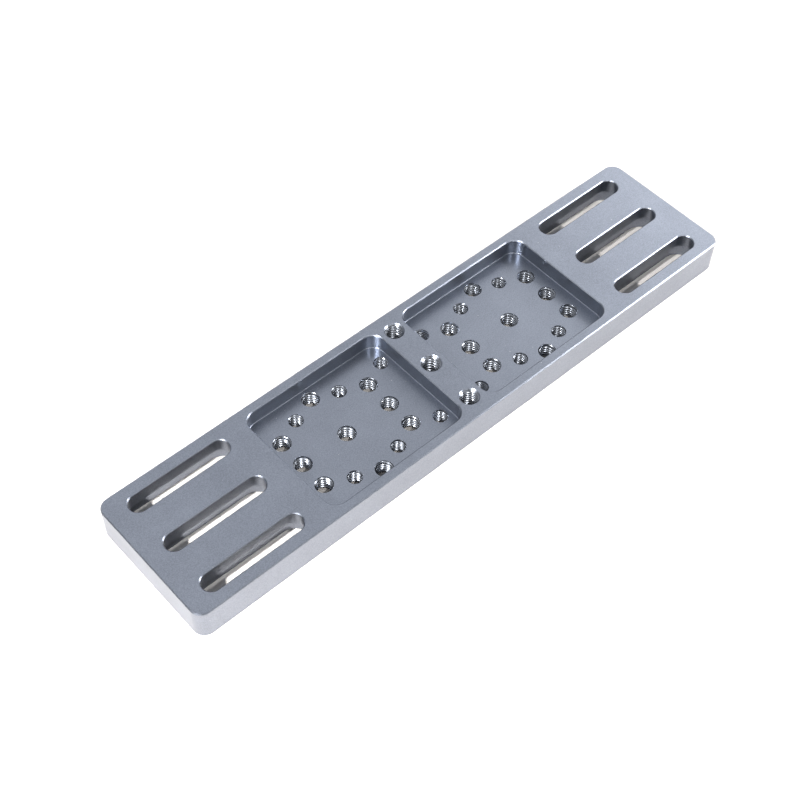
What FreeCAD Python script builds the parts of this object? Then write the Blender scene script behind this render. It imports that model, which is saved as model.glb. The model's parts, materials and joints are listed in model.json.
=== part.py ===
import FreeCAD, Part
import os

# A flat accessory plate milled from one bar of aluminium. Two shallow pockets
# with tapped holes lie either side of a centre rib, and three long slots run
# through each end, counterbored from below so that screw heads sit inside the
# plate. X is along the plate, Y across it and Z up from its underside, with
# the origin at the middle of the underside. Millimetres.

# The squared bar: outer size, rounded upright corners and broken edges
LENGTH = 220.0
WIDTH = 50.0
THICKNESS = 12.0
CORNER_RADIUS = 4.0
EDGE_BREAK = 0.35

# Slots for clamping screws, three rows at each end, and the wider slots
# milled from below for the screws' heads
SLOT_LENGTH = 36.0
SLOT_WIDTH = 6.5
SLOT_END_WALL = 7.0
HEAD_SLOT_WIDTH = 11.0
HEAD_SLOT_DEPTH = 7.0
SLOT_BREAK = 0.3

# Pockets, between the centre rib, the side walls and the webs beside the slots
RIB_WIDTH = 10.0
POCKET_DEPTH = 6.0
POCKET_SIDE_WALL = 3.25
POCKET_END_WEB = 8.5
POCKET_CORNER_RADIUS = 4.5
POCKET_FOOT_RADIUS = 0.3
POCKET_BREAK = 0.3

# Hole pattern: columns of large holes at the pitch, small ones midway between.
# The insets are from the plate's long edges to the rows, and the slots share
# the outer rows.
COLUMN_PITCH = 17.5
OUTER_ROW_INSET = 7.5
SMALL_ROW_INSET = 11.0
INNER_ROW_OFFSET = 10.0
HOLE_TO_WALL = 1.0

# Thread major diameters: M6, M5 and the quarter inch tripod thread
LARGE_THREAD = 6.0
SMALL_THREAD = 5.0
CENTRE_THREAD = 6.35

# Countersinks at the hole mouths, on top of the rib and on the underside
RIB_HOLE_BREAK = 0.35
CENTRE_HOLE_BREAK = 0.3
UNDERSIDE_BREAK = 0.25

# How far the cutting tools run past the faces that they leave
OVERRUN = 1.0

half_length = LENGTH / 2
half_width = WIDTH / 2
floor_height = THICKNESS - POCKET_DEPTH

outer_row = half_width - OUTER_ROW_INSET
small_row = half_width - SMALL_ROW_INSET
slot_middle = half_length - SLOT_END_WALL - SLOT_LENGTH / 2

pocket_start = RIB_WIDTH / 2
pocket_end = half_length - SLOT_END_WALL - SLOT_LENGTH - POCKET_END_WEB
pocket_half_width = half_width - POCKET_SIDE_WALL


def upright_edges(shape):
    """The straight edges of a shape that run parallel to Z."""
    return [edge for edge in shape.Edges if edge.BoundBox.ZLength > 0.999 * edge.Length]


def rim_edges(shape, height, outline):
    """The edges of a shape that lie flat at one height, within another shape's outline."""
    area = outline.BoundBox
    area.enlarge(0.01)
    rims = []
    for edge in shape.Edges:
        box = edge.BoundBox
        flat = abs(box.ZMin - height) < 1e-4 and abs(box.ZMax - height) < 1e-4
        if flat and area.isInside(box):
            rims.append(edge)
    return rims


def rounded_block(x_low, x_high, y_half, z_low, z_high, radius):
    """A block about the X axis whose four upright edges are rounded."""
    corner = FreeCAD.Vector(x_low, -y_half, z_low)
    block = Part.makeBox(x_high - x_low, 2 * y_half, z_high - z_low, corner)
    return block.makeFillet(radius, upright_edges(block))


def plate_blank():
    """The squared bar with its rounded corners and broken outer edges."""
    blank = rounded_block(-half_length, half_length, half_width, 0, THICKNESS, CORNER_RADIUS)
    rims = rim_edges(blank, 0, blank) + rim_edges(blank, THICKNESS, blank)
    return blank.makeChamfer(EDGE_BREAK, rims)


def pocket_tool(side):
    """What one pocket takes out: +1 for the right pocket, -1 for the left."""
    x_low, x_high = sorted((side * pocket_start, side * pocket_end))
    top = THICKNESS + OVERRUN
    tool = rounded_block(x_low, x_high, pocket_half_width, floor_height, top, POCKET_CORNER_RADIUS)
    return tool.makeFillet(POCKET_FOOT_RADIUS, rim_edges(tool, floor_height, tool))


def cutter_sweep(x, y, travel, diameter, z_high):
    """What an end mill takes out of the underside as it travels along X, up to one height."""
    start = FreeCAD.Vector(x - travel / 2, y, -OVERRUN)
    stop = FreeCAD.Vector(x + travel / 2, y, -OVERRUN)
    across = FreeCAD.Vector(0, diameter / 2, 0)
    height = z_high + OVERRUN
    sweep = Part.makeBox(travel, diameter, height, start - across)
    for end in (start, stop):
        sweep = sweep.fuse(Part.makeCylinder(diameter / 2, height, end))
    return sweep.removeSplitter()


def slot_tool(x, y):
    """A round-ended slot right through the plate, with the wider slot for screw heads below it."""
    travel = SLOT_LENGTH - SLOT_WIDTH
    through = cutter_sweep(x, y, travel, SLOT_WIDTH, THICKNESS + OVERRUN)
    return through.fuse(cutter_sweep(x, y, travel, HEAD_SLOT_WIDTH, HEAD_SLOT_DEPTH))


def cut_and_break(plate, tool, size, heights):
    """Cut one tool out of the plate and break the edges it leaves at the given heights."""
    plate = plate.cut(tool)
    rims = [edge for height in heights for edge in rim_edges(plate, height, tool)]
    return plate.makeChamfer(size, rims)


def countersink(x, y, radius, height, size, direction):
    """A 45 degree cone that widens a hole by one size at a face; direction is the face's normal in Z."""
    base = FreeCAD.Vector(x, y, height - direction * size)
    return Part.makeCone(radius, radius + 2 * size, 2 * size, base, FreeCAD.Vector(0, 0, direction))


def hole_tool(x, y, diameter, mouth_height, mouth_break=0):
    """A tapped hole right through, bored to its thread's major diameter, with its countersinks."""
    radius = diameter / 2
    tool = Part.makeCylinder(radius, mouth_height + 2 * OVERRUN, FreeCAD.Vector(x, y, -OVERRUN))
    tool = tool.fuse(countersink(x, y, radius, 0, UNDERSIDE_BREAK, -1))
    if mouth_break:
        tool = tool.fuse(countersink(x, y, radius, mouth_height, mouth_break, 1))
    return tool


def rib_holes():
    """The centre hole and the two large holes of the rib."""
    tools = [hole_tool(0, y, LARGE_THREAD, THICKNESS, RIB_HOLE_BREAK) for y in (-outer_row, outer_row)]
    return tools + [hole_tool(0, 0, CENTRE_THREAD, THICKNESS, CENTRE_HOLE_BREAK)]


def clears_the_walls(x, diameter):
    """Whether a hole in this column stands clear of the rib and of the pocket's end wall."""
    room = diameter / 2 + HOLE_TO_WALL
    return pocket_start + room <= x <= pocket_end - room


def pocket_holes():
    """The holes of both pocket floors: odd large columns are narrow, even ones reach the outer rows."""
    tools = []
    for number in range(1, int(pocket_end / COLUMN_PITCH) + 2):
        large_x = number * COLUMN_PITCH
        small_x = large_x - COLUMN_PITCH / 2
        large_row = INNER_ROW_OFFSET if number % 2 else outer_row
        for side in (-1, 1):
            if clears_the_walls(large_x, LARGE_THREAD):
                for y in (-large_row, 0, large_row):
                    tools.append(hole_tool(side * large_x, y, LARGE_THREAD, floor_height))
            if clears_the_walls(small_x, SMALL_THREAD):
                for y in (-small_row, small_row):
                    tools.append(hole_tool(side * small_x, y, SMALL_THREAD, floor_height))
    return tools


def milled_plate():
    """The finished plate, with its pockets, slots and holes cut in the order of machining."""
    plate = plate_blank()
    for side in (-1, 1):
        plate = cut_and_break(plate, pocket_tool(side), POCKET_BREAK, [THICKNESS])
        for y in (-outer_row, 0, outer_row):
            plate = cut_and_break(plate, slot_tool(side * slot_middle, y), SLOT_BREAK, [0, THICKNESS])
    return plate.cut(rib_holes() + pocket_holes())


os.makedirs("parts", exist_ok=True)
accessory_plate = milled_plate()
accessory_plate.exportStep("parts/accessory_plate.step")

box = accessory_plate.BoundBox
print("size", round(box.XLength, 3), round(box.YLength, 3), round(box.ZLength, 3))
print("solids", len(accessory_plate.Solids), "valid", accessory_plate.isValid())
print("volume", round(accessory_plate.Volume, 1), "faces", len(accessory_plate.Faces))
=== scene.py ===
import json
import math

import bmesh
import bpy
from mathutils import Matrix, Quaternion, Vector


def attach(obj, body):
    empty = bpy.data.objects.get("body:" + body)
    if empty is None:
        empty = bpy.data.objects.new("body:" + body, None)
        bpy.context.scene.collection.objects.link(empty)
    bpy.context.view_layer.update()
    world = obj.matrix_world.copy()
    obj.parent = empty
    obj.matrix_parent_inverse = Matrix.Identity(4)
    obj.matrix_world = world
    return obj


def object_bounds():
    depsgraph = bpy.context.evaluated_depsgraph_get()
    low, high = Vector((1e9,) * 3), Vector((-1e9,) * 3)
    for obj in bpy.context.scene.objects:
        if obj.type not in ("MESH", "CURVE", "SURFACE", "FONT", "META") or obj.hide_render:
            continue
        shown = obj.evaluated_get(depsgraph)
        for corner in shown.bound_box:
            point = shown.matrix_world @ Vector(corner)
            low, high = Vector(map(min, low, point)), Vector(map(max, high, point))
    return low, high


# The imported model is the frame: one milled plate, in metres, standing on its
# underside at z = 0 with its length along X.
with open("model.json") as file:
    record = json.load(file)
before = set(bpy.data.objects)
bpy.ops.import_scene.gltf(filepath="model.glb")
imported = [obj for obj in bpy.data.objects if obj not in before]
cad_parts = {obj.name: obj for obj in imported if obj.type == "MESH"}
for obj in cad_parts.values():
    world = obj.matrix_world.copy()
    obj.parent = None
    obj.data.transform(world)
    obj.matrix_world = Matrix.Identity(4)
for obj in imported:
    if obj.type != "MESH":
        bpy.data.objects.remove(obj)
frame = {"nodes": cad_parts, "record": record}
cad_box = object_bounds()


# The plate is one bar of aluminium, milled, bead blasted to a fine even grain
# and anodised a cool grey. The blasting leaves tiny dimples all over, and
# handling leaves a few bright specks where the coat is nicked.
plate = frame["nodes"]["accessory_plate"]
PLATE_GREY = (0.236, 0.256, 0.300)
PLATE_ROUGHNESS = 0.36
GRAIN_SIZE = 0.00035
GRAIN_DEPTH = 0.000004
GRAIN_CONTRAST = 0.20
GRAIN_SHARE = 0.75
CLOUD_SIZE = 0.012
NOISE_LOW = 0.3
NOISE_HIGH = 0.7
GLOSS_SPREAD = 0.03
NICK_SPACING = 0.004
NICK_RADIUS = 0.00009
NICK_BRIGHT = (0.80, 0.81, 0.83)


def anodised_metal(name, grey, roughness, grain_contrast, grain_depth):
    """A matt anodised coat: a metal whose grey, gloss and surface all carry a fine grain."""
    material = bpy.data.materials.new(name)
    material.use_nodes = True
    nodes, links = material.node_tree.nodes, material.node_tree.links
    shader = nodes["Principled BSDF"]
    shader.inputs["Metallic"].default_value = 1.0
    place = nodes.new("ShaderNodeTexCoord")
    grain = nodes.new("ShaderNodeTexNoise")
    grain.inputs["Scale"].default_value = 1 / GRAIN_SIZE
    grain.inputs["Detail"].default_value = 2.0
    links.new(place.outputs["Object"], grain.inputs["Vector"])
    cloud = nodes.new("ShaderNodeTexNoise")
    cloud.inputs["Scale"].default_value = 1 / CLOUD_SIZE
    cloud.inputs["Detail"].default_value = 3.0
    links.new(place.outputs["Object"], cloud.inputs["Vector"])
    mixed = nodes.new("ShaderNodeMath")
    mixed.operation = "MULTIPLY_ADD"
    mixed.inputs[1].default_value = GRAIN_SHARE
    links.new(grain.outputs["Fac"], mixed.inputs[0])
    cloud_part = nodes.new("ShaderNodeMath")
    cloud_part.operation = "MULTIPLY"
    cloud_part.inputs[1].default_value = 1 - GRAIN_SHARE
    links.new(cloud.outputs["Fac"], cloud_part.inputs[0])
    links.new(cloud_part.outputs[0], mixed.inputs[2])
    tint = nodes.new("ShaderNodeValToRGB")
    tint.color_ramp.elements[0].position = NOISE_LOW
    tint.color_ramp.elements[1].position = NOISE_HIGH
    tint.color_ramp.elements[0].color = (*[c * (1 - grain_contrast) for c in grey], 1)
    tint.color_ramp.elements[1].color = (*[c * (1 + grain_contrast) for c in grey], 1)
    links.new(mixed.outputs[0], tint.inputs["Fac"])
    scatter = nodes.new("ShaderNodeTexVoronoi")
    scatter.inputs["Scale"].default_value = 1 / NICK_SPACING
    links.new(place.outputs["Object"], scatter.inputs["Vector"])
    nick = nodes.new("ShaderNodeMath")
    nick.operation = "LESS_THAN"
    nick.inputs[1].default_value = NICK_RADIUS / NICK_SPACING
    links.new(scatter.outputs["Distance"], nick.inputs[0])
    coat = nodes.new("ShaderNodeMix")
    coat.data_type = "RGBA"
    coat.inputs[7].default_value = (*NICK_BRIGHT, 1)
    links.new(nick.outputs[0], coat.inputs[0])
    links.new(tint.outputs["Color"], coat.inputs[6])
    links.new(coat.outputs[2], shader.inputs["Base Color"])
    gloss = nodes.new("ShaderNodeMapRange")
    gloss.inputs["From Min"].default_value = NOISE_LOW
    gloss.inputs["From Max"].default_value = NOISE_HIGH
    gloss.inputs["To Min"].default_value = roughness - GLOSS_SPREAD
    gloss.inputs["To Max"].default_value = roughness + GLOSS_SPREAD
    links.new(grain.outputs["Fac"], gloss.inputs["Value"])
    links.new(gloss.outputs["Result"], shader.inputs["Roughness"])
    dimples = nodes.new("ShaderNodeBump")
    dimples.inputs["Strength"].default_value = 1.0
    dimples.inputs["Distance"].default_value = grain_depth
    links.new(grain.outputs["Fac"], dimples.inputs["Height"])
    links.new(dimples.outputs["Normal"], shader.inputs["Normal"])
    return material


plate.data.materials.clear()
plate.data.materials.append(
    anodised_metal("bead_blasted_grey", PLATE_GREY, PLATE_ROUGHNESS, GRAIN_CONTRAST, GRAIN_DEPTH)
)


# Each tapped hole has a thread cut by a tap: a smooth helical ridge with a round
# crest, which stands in from the bore to the minor diameter. It thins out in a
# steep lead in the pockets' holes and in the countersink's line on the rib.
THREAD_GREY = (0.24, 0.255, 0.285)
THREAD_ROUGHNESS = 0.27
THREAD_GRAIN = 0.03
THREAD_GRAIN_DEPTH = 0.000001
PITCH_OF_BORE = {0.0030: 0.0010, 0.0025: 0.0008, 0.003175: 0.00127}
RIDGE_HEIGHT = 0.5413
CREST_ROUND = 0.2165
CREST_SLOPES = (-60, -40, -20, 0, 20, 40, 60)
ROOT_FLAT = 0.125
STEPS_PER_TURN = 30
SEATED = 0.00003
TRIM = 0.00001
SHARP_ANGLE = math.radians(30)
START_STEP = 2.4
UNDERSIDE_BREAK = 0.00025
TOP_BREAK = {0.0030: 0.00035, 0.003175: 0.0003}
RIB_LEAD = 1.0
POCKET_LEAD = 0.5


def thread_ridge(name, x, y, bore, pitch, low, high, lead, start_angle):
    """One helical ridge in a bore, faded at the bottom by a 45 degree cone and at the mouth by the lead."""
    base_half = (1 - ROOT_FLAT) * pitch / 2
    outer = bore + SEATED
    crest_radius = CREST_ROUND * pitch
    crest_middle = bore - RIDGE_HEIGHT * pitch + crest_radius
    turns = math.ceil((high - low) / pitch) + 2
    first = low - pitch
    tooth = bmesh.new()
    slopes = [math.radians(slope) for slope in CREST_SLOPES]
    crest = [(crest_middle - crest_radius * math.cos(a), crest_radius * math.sin(a)) for a in slopes]
    corners = [(outer, -base_half), *crest, (outer, base_half)]
    profile = [tooth.verts.new((r, 0, first + z)) for r, z in corners]
    for i, vert in enumerate(profile):
        tooth.edges.new((vert, profile[(i + 1) % len(profile)]))
    bmesh.ops.spin(
        tooth, geom=tooth.verts[:] + tooth.edges[:], cent=(0, 0, 0), axis=(0, 0, 1),
        dvec=(0, 0, pitch / STEPS_PER_TURN), angle=2 * math.pi * turns, steps=turns * STEPS_PER_TURN,
    )
    for vert in tooth.verts:
        height = max(min((high - vert.co.z) * lead, vert.co.z - low), 0)
        radius = math.hypot(vert.co.x, vert.co.y)
        if radius < bore - height:
            vert.co.xy *= (bore - height) / radius
    for height, outward in ((high, 1), (low, -1)):
        bmesh.ops.bisect_plane(
            tooth, geom=tooth.verts[:] + tooth.edges[:] + tooth.faces[:],
            plane_co=(0, 0, height - outward * TRIM), plane_no=(0, 0, outward), clear_outer=True,
        )
    bmesh.ops.holes_fill(tooth, edges=[e for e in tooth.edges if e.is_boundary], sides=0)
    bmesh.ops.recalc_face_normals(tooth, faces=tooth.faces[:])
    for face in tooth.faces:
        face.smooth = True
    for edge in tooth.edges:
        edge.smooth = len(edge.link_faces) == 2 and edge.calc_face_angle(0) < SHARP_ANGLE
    bmesh.ops.rotate(tooth, verts=tooth.verts[:], cent=(0, 0, 0), matrix=Matrix.Rotation(start_angle, 3, "Z"))
    bmesh.ops.translate(tooth, verts=tooth.verts[:], vec=(x, y, 0))
    mesh = bpy.data.meshes.new(name)
    tooth.to_mesh(mesh)
    tooth.free()
    ridge = bpy.data.objects.new(name, mesh)
    bpy.context.scene.collection.objects.link(ridge)
    return ridge


thread_metal = anodised_metal("cut_thread", THREAD_GREY, THREAD_ROUGHNESS, THREAD_GRAIN, THREAD_GRAIN_DEPTH)
tapped = []
for mount in frame["record"]["mounts"]:
    dims = mount["dims"]
    if mount["kind"] == "threaded_hole":
        tapped.append((0.0, 0.0, dims["r_mm"] / 1000, cad_box[1].z))
    elif mount["kind"] == "bolt_pattern" and "slot_length_mm" not in dims:
        across = {dims.get("spacing_x_mm", 0) / 2000, -dims.get("spacing_x_mm", 0) / 2000}
        along = {dims.get("spacing_y_mm", 0) / 2000, -dims.get("spacing_y_mm", 0) / 2000}
        tapped += [(x, y, dims["hole_r_mm"] / 1000, mount["pos_m"][2]) for x in across for y in along]
for number, (x, y, bore, mouth) in enumerate(sorted(tapped), 1):
    on_rib = math.isclose(mouth, cad_box[1].z, rel_tol=0.001)
    high = mouth - TOP_BREAK[bore] if on_rib else mouth
    lead = RIB_LEAD if on_rib else POCKET_LEAD
    ridge = thread_ridge(
        f"thread_{number:02d}", x, y, bore, PITCH_OF_BORE[bore],
        UNDERSIDE_BREAK, high, lead, number * START_STEP,
    )
    ridge.data.materials.append(thread_metal)
    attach(ridge, "root")


# The floor is a plain warm white sheet that the plate lies on. It is not part
# of the object.
FLOOR_WHITE = (0.94, 0.895, 0.85)
FLOOR_ROUGHNESS = 0.9
FLOOR_SPECULAR = 0.1
FLOOR_HALF = 3.0
FLOOR_DROP = 0.00002

sheet = bmesh.new()
bmesh.ops.create_grid(sheet, x_segments=1, y_segments=1, size=FLOOR_HALF)
bmesh.ops.translate(sheet, verts=sheet.verts[:], vec=(0, 0, -FLOOR_DROP))
floor_mesh = bpy.data.meshes.new("floor")
sheet.to_mesh(floor_mesh)
sheet.free()
floor = bpy.data.objects.new("floor", floor_mesh)
bpy.context.scene.collection.objects.link(floor)
floor_paper = bpy.data.materials.new("floor_paper")
floor_paper.use_nodes = True
paper = floor_paper.node_tree.nodes["Principled BSDF"]
paper.inputs["Base Color"].default_value = (*FLOOR_WHITE, 1)
paper.inputs["Roughness"].default_value = FLOOR_ROUGHNESS
paper.inputs["Specular IOR Level"].default_value = FLOOR_SPECULAR
floor.data.materials.append(floor_paper)


# Studio light: a pale wall behind the plate that fades to a dim front, a large
# soft box off the right end that the top mirrors, a small lamp off the left end
# that draws the slots on the floor, and two lamps and a panel for the near edges.
ROOM_DIM = 0.25
ROOM_PALE = 0.92
ROOM_COOL = (0.98, 1.0, 1.04)
PALE_WALL = Vector((0.16, 0.60, 0.79))
FADE = 4.0
LAMPS = (
    ("soft_box", (1.245, 0.453, 0.704), 1.0, 7.0),
    ("left_lamp", (-0.353, -0.064, 0.321), 0.024, 3.2),
    ("low_front_lamp", (0.350, -0.255, 0.140), 0.22, 2.1),
    ("high_front_lamp", (-0.13, -0.83, 1.20), 0.05, 5.5),
    ("front_panel", (0.12, -1.40, 0.50), 1.0, 1.8),
)

world = bpy.data.worlds.new("studio")
world.use_nodes = True
sky, sky_links = world.node_tree.nodes, world.node_tree.links
toward = sky.new("ShaderNodeTexCoord")
facing = sky.new("ShaderNodeVectorMath")
facing.operation = "DOT_PRODUCT"
facing.inputs[1].default_value = PALE_WALL.normalized()
sky_links.new(toward.outputs["Generated"], facing.inputs[0])
falling = sky.new("ShaderNodeMath")
falling.operation = "MULTIPLY_ADD"
falling.inputs[1].default_value = FADE
falling.inputs[2].default_value = -FADE
sky_links.new(facing.outputs["Value"], falling.inputs[0])
fading = sky.new("ShaderNodeMath")
fading.operation = "EXPONENT"
sky_links.new(falling.outputs[0], fading.inputs[0])
strength = sky.new("ShaderNodeMath")
strength.operation = "MULTIPLY_ADD"
strength.inputs[1].default_value = ROOM_PALE
strength.inputs[2].default_value = ROOM_DIM
sky_links.new(fading.outputs[0], strength.inputs[0])
room = sky["Background"]
room.inputs["Color"].default_value = (*ROOM_COOL, 1)
sky_links.new(strength.outputs[0], room.inputs["Strength"])
bpy.context.scene.world = world
for name, place, across, power in LAMPS:
    lamp_data = bpy.data.lights.new(name, "AREA")
    lamp_data.shape = "DISK"
    lamp_data.size = across
    lamp_data.energy = power
    lamp = bpy.data.objects.new(name, lamp_data)
    lamp.location = place
    lamp.rotation_euler = (-Vector(place)).to_track_quat("-Z", "Y").to_euler()
    lamp.visible_camera = False
    bpy.context.scene.collection.objects.link(lamp)


# The camera looks down on the plate from beyond its left front corner, close to
# the photograph's own view.
CAMERA_AT = Vector((-0.20216, -0.20287, 0.36722))
CAMERA_AIM = Vector((-0.01719, -0.00445, 0.012))
CAMERA_ROLL = math.radians(1.56)
CAMERA_LENS = 65.22
SENSOR_WIDTH = 36.0

camera_data = bpy.data.cameras.new("camera")
camera_data.lens = CAMERA_LENS
camera_data.sensor_width = SENSOR_WIDTH
camera_data.clip_start = 0.01
camera_data.clip_end = 20.0
camera = bpy.data.objects.new("camera", camera_data)
level = (CAMERA_AIM - CAMERA_AT).to_track_quat("-Z", "Y")
camera.rotation_mode = "QUATERNION"
camera.rotation_quaternion = level @ Quaternion((0, 0, 1), CAMERA_ROLL)
camera.location = CAMERA_AT
bpy.context.scene.collection.objects.link(camera)
bpy.context.scene.camera = camera

bpy.context.scene.view_settings.view_transform = "Standard"
